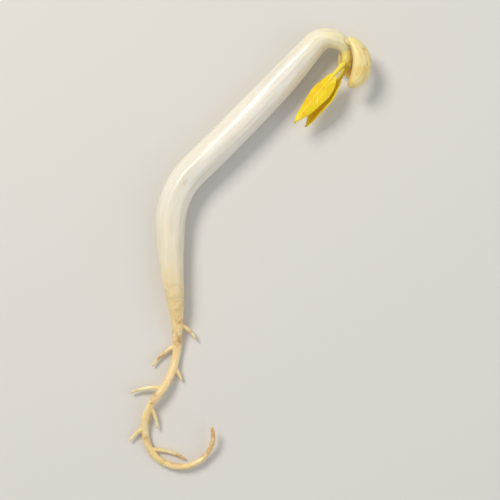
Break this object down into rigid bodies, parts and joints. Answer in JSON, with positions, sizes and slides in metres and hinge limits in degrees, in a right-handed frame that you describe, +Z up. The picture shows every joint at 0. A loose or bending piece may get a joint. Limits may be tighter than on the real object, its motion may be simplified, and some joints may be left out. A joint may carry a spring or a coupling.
{
  "type": "mung bean sprout",
  "caption": "Mung bean sprout lying on its side: thick pearly stem, tight crook, cream seed leaves, folded yellow first leaves and a thin curled tan root.",
  "frame": {"origin": "on the surface that the sprout lies on, under the middle of its box", "axes": "+X to the right and +Y from the root up to the crook as the sprout is seen from above, +Z up from the surface"},
  "size_m": [0.0306, 0.0554, 0.0047],
  "materials": {
    "stem_skin": "moist pearly white stem skin, faintly translucent",
    "root_skin": "thin amber tan root skin",
    "stalk_skin": "pale yellow stalk skin with fine down",
    "seed_leaf_skin": "pale cream yellow seed leaf, faintly wrinkled",
    "first_leaf_skin": "bright yellow young leaf with raised veins"
  },
  "bodies": {
    "root": {"hypocotyl": "stem_skin", "root": "root_skin", "epicotyl": "stalk_skin", "cotyledon_outer": "seed_leaf_skin", "cotyledon_lower": "seed_leaf_skin", "first_leaf_upper": "first_leaf_skin", "first_leaf_lower": "first_leaf_skin"}
  },
  "joints": []
}
